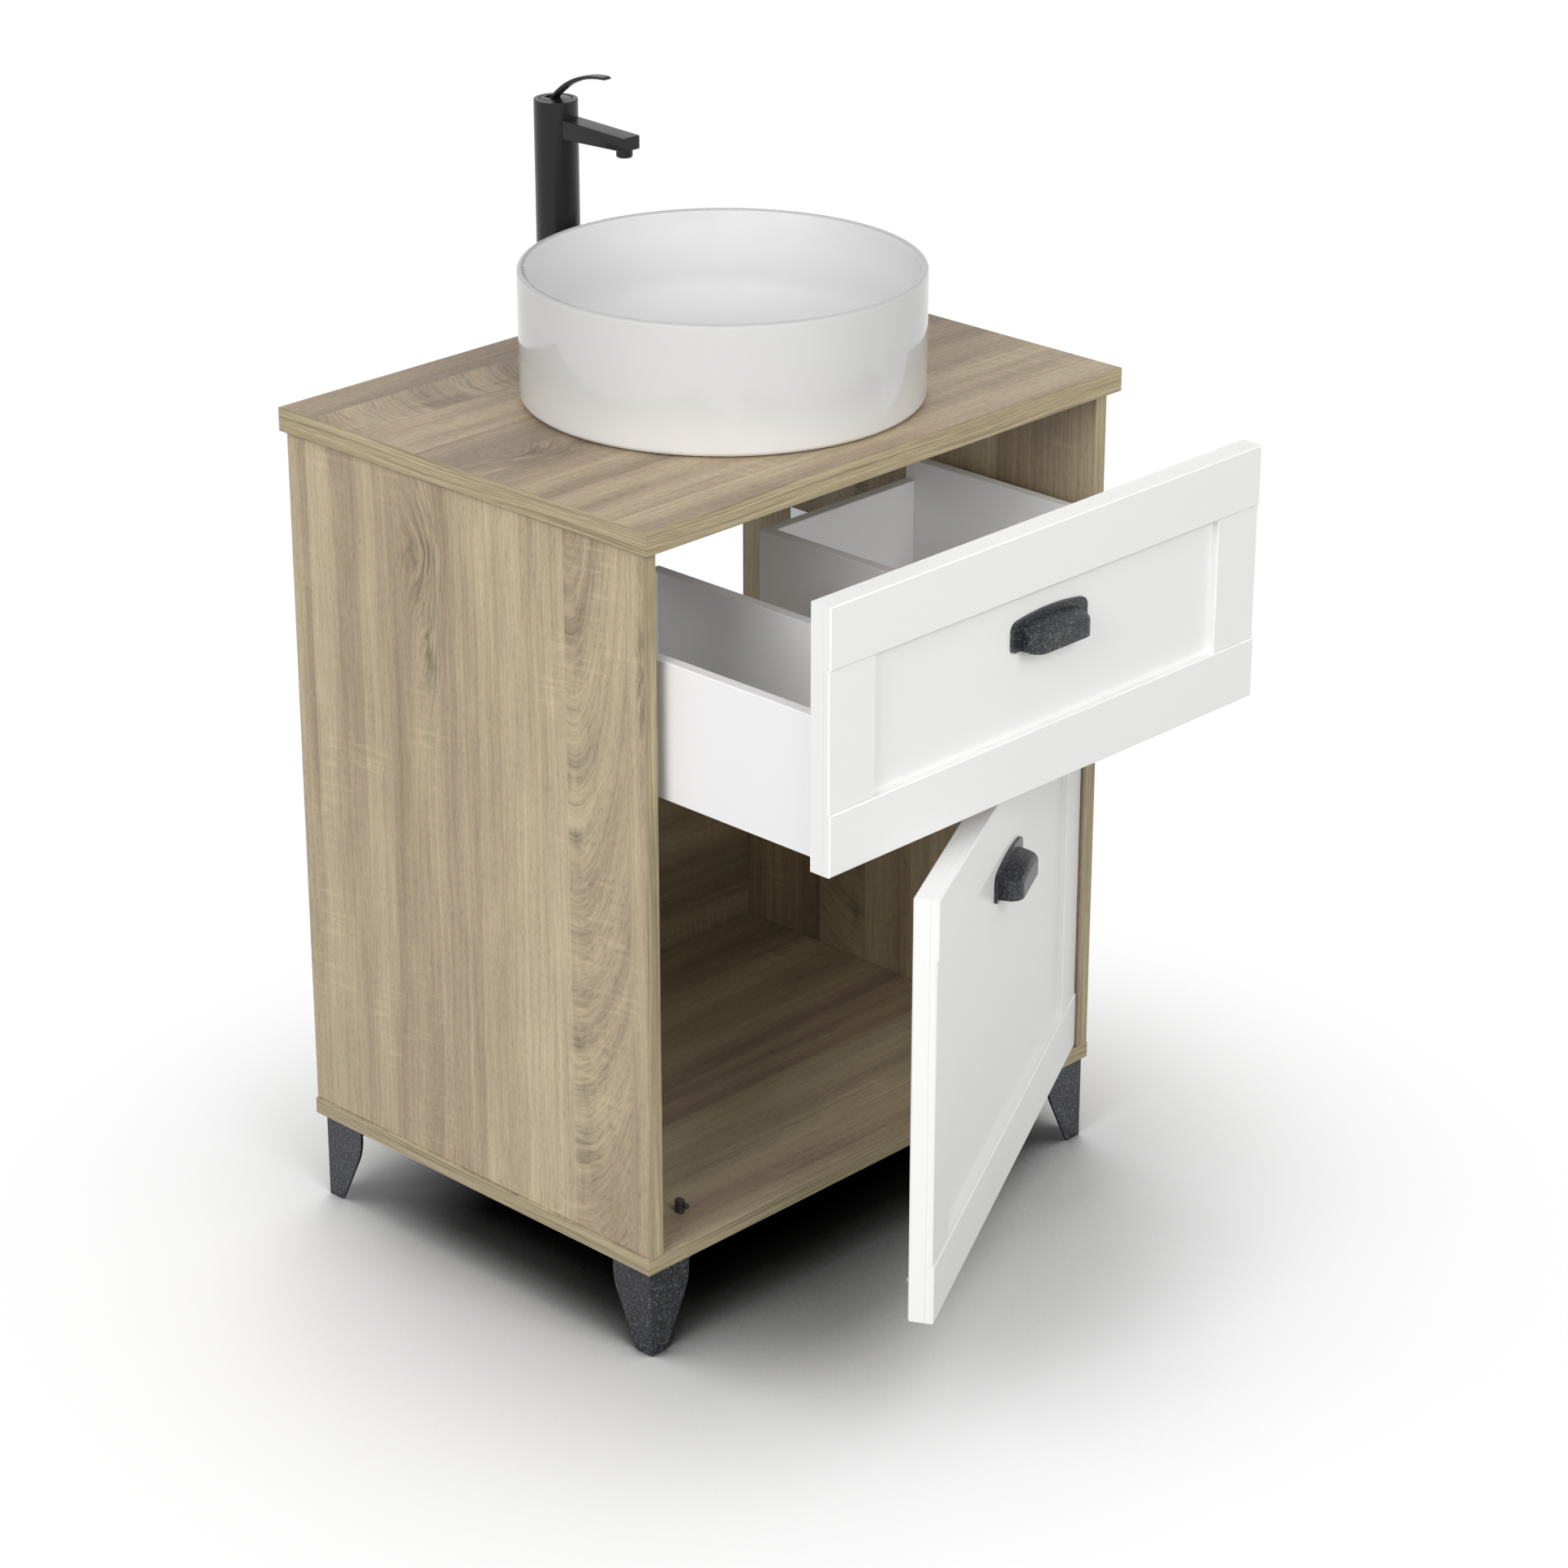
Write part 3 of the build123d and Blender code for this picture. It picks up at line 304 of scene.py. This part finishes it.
def oak(name, face, along, seed, staves, arches=None, eyes=()):
    """Pale oak laminate, printed as glued staves: (joint across the board, tone) in rising order. The grain is noise
    over a ring distance, which is the place across the board with a slow sway, a ripple and a shift for each stave,
    and which arches and eyes bend. Pores, ticks, saw marks and blotches come on top, and bands cover the edges."""
    board = Board(name, face, along, seed)
    side = board.side
    sway = (board.streaks(1.6, side * 3.0) - 0.5) * 0.03
    ripple = (board.streaks(22, side * 45) - 0.5) * 0.012
    tone = stave_tones(board, staves, sway * 0.15 + ripple * 0.2)
    ring = side + sway + ripple * 0.3 + tone * 0.7
    dusk = 0.0
    if arches:
        ring, dusk = arched_stave(board, ring, sway * 0.4 + ripple * 0.12, *arches)
    for eye in eyes:
        ring, swirl = grain_eye(board, ring, *eye)
        dusk = dusk + swirl
    cloud = board.streaks(2.4, side * 10, 2, 3)
    growth = board.streaks(0.7, ring * 22, 0, 3, 0.55) + (tone - 0.5) * 0.7 + (cloud - 0.5) * 0.4
    lines = board.streaks(3.0, ring * 210, 0, 4, 0.75)
    hairs = board.streaks(26, ring * 900, 3, 3, 0.65)
    pores = board.streaks(110, ring * 1150, 5, 1).smooth(0.50, 0.66)
    ticks = board.streaks(260, side * 1500, 6, 1).smooth(0.52, 0.66)
    blotch = board.streaks(9.0, side * 42, 13, 3, 0.6)
    rough_sawn = board.streaks(7.0, side * 9, 9).smooth(0.52, 0.62)
    saw = board.streaks(210, side * 16, 11, 1, run=board.run + side * 0.10).smooth(0.52, 0.66) * rough_sawn
    wood = growth.ramp((0.18, paint(140, 125, 107)), (0.38, paint(166, 148, 125)), (0.55, paint(184, 169, 141)),
                       (0.80, paint(202, 188, 160)))
    level = 1.03 + (lines - 0.5) * 0.9 + (hairs - 0.5) * 0.65 + (blotch - 0.5) * 0.35
    level = level - pores * 0.16 - ticks * 0.12 - dusk * 0.32 + saw * 0.13
    band, fibres = edge_band(board)
    rim = (board.ends + board.edges).smooth(0.6, 0.8)
    corner = board.ends * board.edges + board.edges * board.flats + board.flats * board.ends
    relief = (hairs * 0.5 - pores * 0.9 - ticks * 0.4 + lines * 0.5) * (1.0 - rim) + fibres * rim * 0.5
    return board.put(Base_Color=(1.0 - corner * 0.4).times(rim.mix(level.times(wood), band)),
                     Roughness=0.5 + (lines - 0.5) * 0.3 + pores * 0.1, Specular_IOR_Level=0.35,
                     Normal=relief.bump(0.00006, 0.7))


def lacquer(name, tint, sheen, peel):
    """Sprayed white paint: a nearly even tint with slow clouds and a fine orange-peel relief."""
    finish = Finish(name)
    clouds = finish.spot.noise(7, 3)
    grain = finish.spot.noise(900, 2)
    return finish.put(Base_Color=(1.0 + (clouds - 0.5) * 0.03 + (grain - 0.5) * 0.012).times(tint),
                      Roughness=sheen + (clouds - 0.5) * 0.12, Normal=grain.bump(peel, 0.35))


def speckled(name):
    """Textured grey powder paint: lighter and darker specks of one or two millimetres on a fine rough skin."""
    finish = Finish(name)
    coarse = finish.spot.noise(440, 1)
    fine = finish.spot.noise(1100, 1)
    tint = (coarse * 0.55 + fine * 0.45).ramp((0.34, paint(12, 13, 17)), (0.46, paint(32, 33, 38)),
                                              (0.55, paint(48, 49, 54)), (0.68, paint(110, 112, 117)))
    return finish.put(Base_Color=tint, Roughness=0.34 + (fine - 0.5) * 0.3, Normal=coarse.bump(0.00012, 0.5))


def satin_black(name):
    """Satin black paint on brass: slow clouds in its gloss and a very fine grain."""
    finish = Finish(name)
    clouds = finish.spot.noise(30, 3)
    grain = finish.spot.noise(2600, 1)
    return finish.put(Base_Color=(1.0 + (clouds - 0.5) * 0.2 + (grain - 0.5) * 0.3).times(paint(25, 25, 26)),
                      Roughness=0.26 + (clouds - 0.5) * 0.1, Specular_IOR_Level=0.34,
                      Normal=grain.bump(0.00002, 0.3))


def glazed(name):
    """White glaze over clay: glossy, with the slow waves of a dipped skin. Its colour holds painted light: it is
    painted paler inside the bowl and round its foot, and painted shade greys the rim's top. The basin's middle has X
    = 0."""
    foot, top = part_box("basin")
    radius, middle_y = top.x, (foot.y + top.y) / 2
    finish = Finish(name)
    waves = finish.spot.noise(16, 2)
    pool = finish.spot.noise(45, 2)
    east, north, level = finish.spot.axes()
    outside = east.reach(north - middle_y).smooth(radius - 0.006, radius - 0.002)
    # painted light: the outer wall is painted paler towards its foot, standing in for the light the countertop throws
    # up onto it
    low = 1.0 - level.smooth(foot.z + 0.01, foot.z + 0.055)
    # painted shade: the top of the rim is painted grey
    rim = level.smooth(top.z - 0.0025, top.z - 0.0008)
    # painted light: inside the bowl the glaze is painted paler than outside, standing in for the light that falls
    # into it from above
    glaze_with_painted_light = outside.mix(paint(213, 213, 213), low.mix(paint(202, 202, 201), paint(214, 213, 211)))
    # the grey paint(182) is the rim's painted shade, and the paler tints before it are painted light
    return finish.put(Base_Color=(1.0 + (pool - 0.5) * 0.03).times(rim.mix(glaze_with_painted_light, paint(182, 182, 182))),
                      Roughness=0.09 + (pool - 0.5) * 0.05, Normal=waves.bump(0.0006, 0.25))


def metal(name, tint, gloss, scratch_scale):
    """Bare or plated metal: a cloudy tint, with a gloss and a relief of fine scratches."""
    finish = Finish(name)
    scratches = finish.spot.noise(scratch_scale, 2)
    clouds = finish.spot.noise(60, 2)
    return finish.put(Base_Color=(1.0 + (clouds - 0.5) * 0.15).times(tint), Metallic=1.0,
                      Roughness=gloss + (scratches - 0.5) * 0.12, Normal=scratches.bump(0.00001, 0.3))


def moulded(name, tint, gloss):
    """Moulded plastic or rubber: an even tint with a fine matt grain."""
    finish = Finish(name)
    grain = finish.spot.noise(1400, 2)
    return finish.put(Base_Color=(1.0 + (grain - 0.5) * 0.25).times(tint),
                      Roughness=gloss + (grain - 0.5) * 0.15, Normal=grain.bump(0.00004, 0.4))


def beech(name):
    """Turned beech: pale, with short flecks along X."""
    finish = Finish(name)
    run, side, deep = finish.spot.axes()
    flecks = finish.spot.place(run * 60, side * 700, deep * 700).noise(1, 2)
    return finish.put(Base_Color=flecks.ramp((0.35, paint(176, 136, 96)), (0.65, paint(214, 180, 140))),
                      Roughness=0.6 + (flecks - 0.5) * 0.2)


# Each board's staves are (joint, tone), its arches (low, high, heart, top, slope), and its eyes (place along the
# board, place across it, length, width), in metres.
boards = {
    "side_panel_left": oak(
        "oak_left_side", "X", "Z", 1.0,
        staves=((-1, 0.38), (-0.428, 0.46), (-0.354, 0.62), (-0.270, 0.46), (-0.194, 0.46), (-0.090, 0.62),
                (-0.027, 0.56)),
        arches=(-0.428, -0.354, -0.360, 0.84, 0.2),
        eyes=((0.686, -0.178, 0.055, 0.026), (0.60, -0.185, 0.05, 0.014), (0.64, -0.447, 0.10, 0.006))),
    "side_panel_right": oak(
        "oak_right_side", "X", "Z", 4.0,
        staves=((-1, 0.6), (-0.395, 0.5), (-0.330, 0.66), (-0.255, 0.56), (-0.170, 0.66), (-0.110, 0.5),
                (-0.045, 0.6)),
        arches=(-0.170, -0.110, -0.165, 0.9, 0.25)),
    # The top's stave tones are set darker than the sides': partly its darker printed staves, partly painted shade
    # that offsets the stronger light falling on the top.
    "countertop": oak(
        "oak_top", "Z", "X", 8.0,
        staves=((-1, 0.38), (-0.420, 0.44), (-0.345, 0.22), (-0.265, 0.14), (-0.180, 0.24), (-0.105, 0.32),
                (-0.045, 0.2)),
        arches=(-0.105, -0.045, -0.10, 0.6, 0.3),
        eyes=((-0.232, -0.255, 0.05, 0.022), (-0.15, -0.262, 0.06, 0.010))),
    "base_panel": oak(
        "oak_base", "Z", "X", 12.0, staves=((-1, 0.52), (-0.36, 0.6), (-0.28, 0.42), (-0.17, 0.58), (-0.09, 0.45))),
    "back_panel": oak("oak_back", "Y", "X", 15.0, staves=((0, 0.45), (0.16, 0.55), (0.24, 0.4), (0.33, 0.6))),
    "back_rail": oak("oak_back_rail", "Y", "X", 18.0, staves=((0, 0.5), (0.705, 0.6), (0.735, 0.42))),
}
finishes = {
    "white_lacquer": lacquer("white_lacquer", paint(239, 239, 237), 0.36, 0.00003),
    "white_board": lacquer("white_board", paint(242, 241, 242), 0.5, 0.00005),
    "speckled_grey": speckled("speckled_grey"),
    "black_metal": satin_black("black_metal"),
    "white_glaze": glazed("white_glaze"),
    "steel": metal("steel", paint(176, 178, 182), 0.36, 900),
    "chrome": metal("chrome", paint(226, 228, 230), 0.1, 500),
    "brass": metal("brass", paint(196, 164, 98), 0.3, 700),
    "rubber": moulded("rubber", paint(44, 44, 46), 0.75),
    "dark_plastic": moulded("dark_plastic", paint(58, 58, 60), 0.5),
    "beech": beech("beech"),
}


def smooth_rounds():
    """A node group for the solids: corners in one place are joined, and only slight edges shade smooth."""
    group = bpy.data.node_groups.new("smooth_rounds", "GeometryNodeTree")
    group.interface.new_socket("Geometry", in_out="INPUT", socket_type="NodeSocketGeometry")
    group.interface.new_socket("Geometry", in_out="OUTPUT", socket_type="NodeSocketGeometry")
    start = Wire(group, group.nodes.new("NodeGroupInput").outputs[0])
    joined = start.node("GeometryNodeMergeByDistance", {}, {"Geometry": start, "Distance": SAME_PLACE})
    angle = start.node("GeometryNodeInputMeshEdgeAngle")
    flat = start.node("FunctionNodeCompare", {"operation": "LESS_THAN"}, {0: angle, 1: SMOOTH_BELOW})
    faces = start.node("GeometryNodeSetShadeSmooth", {"domain": "FACE"}, {0: joined})
    edges = start.node("GeometryNodeSetShadeSmooth", {"domain": "EDGE"}, {0: faces, 2: flat})
    group.links.new(edges.socket, group.nodes.new("NodeGroupOutput").inputs[0])
    return group


def dress_solids():
    """Gives each solid its board's finish, or that of its slot in the record, and smooth rounds."""
    rounds = smooth_rounds()
    slot_of = {part["node"]: part["material_slot"] for part in frame["record"]["subparts"]}
    for name, solid in frame["nodes"].items():
        finish = boards.get(name) or finishes[slot_of[name]]
        if not solid.material_slots:
            solid.data.materials.append(finish)
        for slot in solid.material_slots:
            slot.material = finish
        solid.modifiers.new("smooth_rounds", "NODES").node_group = rounds


def circle(count):
    """Cosine and sine at even steps round a circle, a row for each point."""
    angle = np.linspace(0, 2 * np.pi, count, endpoint=False)
    return np.stack([np.cos(angle), np.sin(angle)], axis=-1)


def squared_ring(count, power):
    """Points around a square of half side one with rounded corners: the circle's cosine and sine divided by the
    root, of the given power, of the sum of their powers."""
    ring = circle(count)
    return ring / (np.abs(ring) ** power).sum(axis=1, keepdims=True) ** (1 / power)


def bow(start, middle, end, share):
    """Points on the circle through three points of a plane, at shares of the way from start (0) to end (1). The
    centre has the same distance to all three, which is two linear equations; the shares then run over the angle."""
    start, middle, end = np.array(start), np.array(middle), np.array(end)
    sides = 2 * np.array([middle - start, end - start])
    centre = np.linalg.solve(sides, np.array([middle @ middle - start @ start, end @ end - start @ start]))
    spokes = np.array([start, middle, end]) - centre
    angles = np.unwrap(np.arctan2(spokes[:, 1], spokes[:, 0]))
    angle = angles[0] + (angles[2] - angles[0]) * share
    return centre + np.hypot(*spokes[0]) * np.stack([np.cos(angle), np.sin(angle)], axis=-1)


def lifted(rows, levels):
    """Rows of (X, Y) points as rows of (X, Y, Z) points, each row at its own level."""
    return np.concatenate([rows, np.broadcast_to(levels[:, None, None], (*rows.shape[:2], 1))], axis=-1)


def lever_blade():
    """The lever's blade: a rounded section carried along the middle of an upper and a lower bow in the plane X = 0.
    Half its height is half the way between the bows, and its tip closes by a quarter turn of a small radius."""
    share = np.linspace(BLADE_ROOT, 1, 48)
    upper, lower = bow(*UPPER_BOW, share), bow(*LOWER_BOW, share)
    middle, half = (upper + lower) / 2, (upper - lower) / 2
    turn = np.linspace(0, np.pi / 2, 7)[1:]
    tip = middle[-1]
    ahead = TIP_ROUND * (tip - middle[-2]) / np.linalg.norm(tip - middle[-2])
    shrink = TIP_ROUND * (1 - np.cos(turn))
    narrowed = 1 - shrink / np.linalg.norm(half[-1])
    middle = np.concatenate([middle, tip + np.outer(np.sin(turn), ahead), [tip + ahead]])
    tall = np.concatenate([half, np.outer(narrowed, half[-1]), [[0, 0]]])
    wide = BLADE_HALF_WIDTH - np.concatenate([0 * share, shrink, [BLADE_HALF_WIDTH]])
    ring = squared_ring(48, BLADE_SQUARENESS)
    plane = middle[:, None, :] + tall[:, None, :] * ring[None, :, 1:]
    return np.concatenate([wide[:, None, None] * ring[None, :, :1], plane], axis=-1)


def lever_hub():
    """The knob under the cap that the blade grows from: half an ellipse turned round the column's axis."""
    tilt = np.linspace(-np.pi / 2, np.pi / 2, 25)
    rows = HUB_RADIUS * np.cos(tilt)[:, None, None] * circle(48) + np.array([0, TAP_Y])
    return lifted(rows, PIVOT_LEVEL + HUB_HALF_HEIGHT * np.sin(tilt))


def lever_cap():
    """The cap that closes the column's mouth, with a slot in which the blade tilts. Each row is a share of the way
    from the slot's outline to the round edge; the rows go out over a low dome, round the edge, back below and up."""
    slot = squared_ring(96, SLOT_SQUARENESS) * np.array(SLOT_HALF) + np.array([0, SLOT_Y])
    edge = CAP_RADIUS * circle(96) + np.array([0, TAP_Y])
    out = np.linspace(0, CAP_FLAT, 12)
    turn = np.linspace(0, np.pi / 2, 6)
    share = np.concatenate([out, CAP_FLAT + (1 - CAP_FLAT) * np.sin(turn), [1, 0, 0]])
    level = np.concatenate([CAP_TOP + CAP_CROWN * (1 - out ** 2), CAP_TOP - CAP_EDGE_DROP * (1 - np.cos(turn)),
                            [CAP_BOTTOM, CAP_BOTTOM, CAP_TOP + CAP_CROWN]])
    return lifted(slot + (edge - slot) * share[:, None, None], level)


def skin(name, grids, body, slot, replaced=()):
    """A piece from grids of points in millimetres, rows by columns, each closed around its columns. Points in one
    place are merged, which closes poles and rows that come back to their start."""
    points, quads, count = [], [], 0
    for grid in grids:
        rows, columns = grid.shape[:2]
        index = count + np.arange(rows * columns).reshape(rows, columns)
        beside = np.roll(index, -1, axis=1)
        quads.append(np.stack([index[:-1], beside[:-1], beside[1:], index[1:]], axis=-1).reshape(-1, 4))
        points.append(grid.reshape(-1, 3) * MM)
        count += rows * columns
    mesh = bpy.data.meshes.new(name)
    mesh.from_pydata(np.concatenate(points).tolist(), [], np.concatenate(quads).tolist())
    work = bmesh.new()
    work.from_mesh(mesh)
    bmesh.ops.remove_doubles(work, verts=work.verts, dist=SAME_PLACE)
    bmesh.ops.recalc_face_normals(work, faces=work.faces)
    work.to_mesh(mesh)
    work.free()
    mesh.shade_smooth()
    mesh.set_sharp_from_angle(angle=SHARP_ABOVE)
    mesh.materials.append(finishes[slot])
    piece = bpy.data.objects.new(name, mesh)
    scene.collection.objects.link(piece)
    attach(piece, body)
    if replaced:
        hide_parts(*replaced)


def lamp(name, spot, size, power):
    """A square soft box that looks from its spot at the object and isn't seen itself."""
    light = bpy.data.lights.new(name, "AREA")
    light.size = size
    light.energy = power
    box = bpy.data.objects.new(name, light)
    box.location = spot
    box.rotation_euler = (Vector(spot) - Vector(LAMP_AIM)).to_track_quat("Z", "Y").to_euler()
    box.visible_camera = False
    box.visible_glossy = False
    scene.collection.objects.link(box)


def white_world():
    """A world that is white to look at, and lights the object as a soft grey dome that is paler overhead."""
    world = bpy.data.worlds.new("studio")
    scene.world = world
    world.use_nodes = True
    tree = world.node_tree
    shown = Wire(tree).direct_rays()
    height = shown.node("ShaderNodeTexCoord", output="Generated").axes()[2]
    dome = DOME_HORIZON + height.smooth(0.4, 1.0) * (DOME_TOP - DOME_HORIZON)
    sky = tree.nodes["Background"]
    sky.inputs["Color"].default_value = (1, 1, 1, 1)
    tree.links.new((dome + shown * (1.0 - dome)).socket, sky.inputs["Strength"])


def pale_floor():
    """A floor that is pale to look at, greyer to the light it throws back, with a painted shadow where the object
    stands close over it and hides the sky, and white further out."""
    mesh = bpy.data.meshes.new("floor")
    corners = [(-1, -1), (1, -1), (1, 1), (-1, 1)]
    mesh.from_pydata([(x * FLOOR_REACH, y * FLOOR_REACH, 0) for x, y in corners], [], [(0, 1, 2, 3)])
    floor = bpy.data.objects.new("floor", mesh)
    scene.collection.objects.link(floor)
    finish = Finish("pale_floor")
    spot = finish.spot
    shown = spot.direct_rays()
    east, north, _ = spot.axes()
    far = (east - SHADOW_CENTRE[0]).reach(north - SHADOW_CENTRE[1]).smooth(*SHADOW_FADE)
    # painted shadow: the floor's colour is darkened by how much of the sky the object hides nearby
    open_sky = spot.openness(1.4).smooth(0.0, 1.0) * spot.openness(0.16).smooth(0.28, 0.76)
    pale = open_sky.times(paint(250, 250, 250))
    finish.put(Base_Color=shown.mix(paint(140, 140, 140), pale), Roughness=0.8, Specular_IOR_Level=0.0)
    ground = Wire(finish.tree, finish.shader.outputs[0])
    glow = spot.node("ShaderNodeEmission", {}, {"Strength": 1.0})
    blend = spot.node("ShaderNodeMixShader", {}, {0: shown * far, 1: ground, 2: glow})
    finish.tree.links.new(blend.socket, finish.tree.nodes["Material Output"].inputs["Surface"])
    mesh.materials.append(finish.material)


def photo_camera():
    """The camera at the photograph's place, with its focal length and the small shift of its picture."""
    eye = bpy.data.cameras.new("camera")
    eye.sensor_width = 36
    eye.lens = eye.sensor_width * FOCAL / PICTURE
    eye.shift_x, eye.shift_y = LENS_SHIFT[0] / PICTURE, LENS_SHIFT[1] / PICTURE
    eye.clip_end = 100
    camera = bpy.data.objects.new("camera", eye)
    pose = np.eye(4)
    pose[:3, :3] = np.array([EYE_RIGHT, EYE_UP, EYE_AHEAD]).T * (1, 1, -1)
    pose[:3, 3] = np.array(EYE) * MM
    camera.matrix_world = Matrix(pose.tolist())
    scene.collection.objects.link(camera)
    scene.camera = camera


dress_solids()
skin("lever_handle", [lever_blade(), lever_hub()], "lever", "black_metal", ["lever"])
skin("lever_cap", [lever_cap()], "lever_stem", "black_metal")
lamp("left_box", (-4.7, -1.3, 3.0), 3.4, 200)
lamp("front_box", (-0.6, -5.1, 2.8), 3.6, 158)
lamp("back_box", (4.2, 3.4, 1.7), 3.2, 105)
white_world()
pale_floor()
photo_camera()
scene.view_settings.view_transform = "Standard"
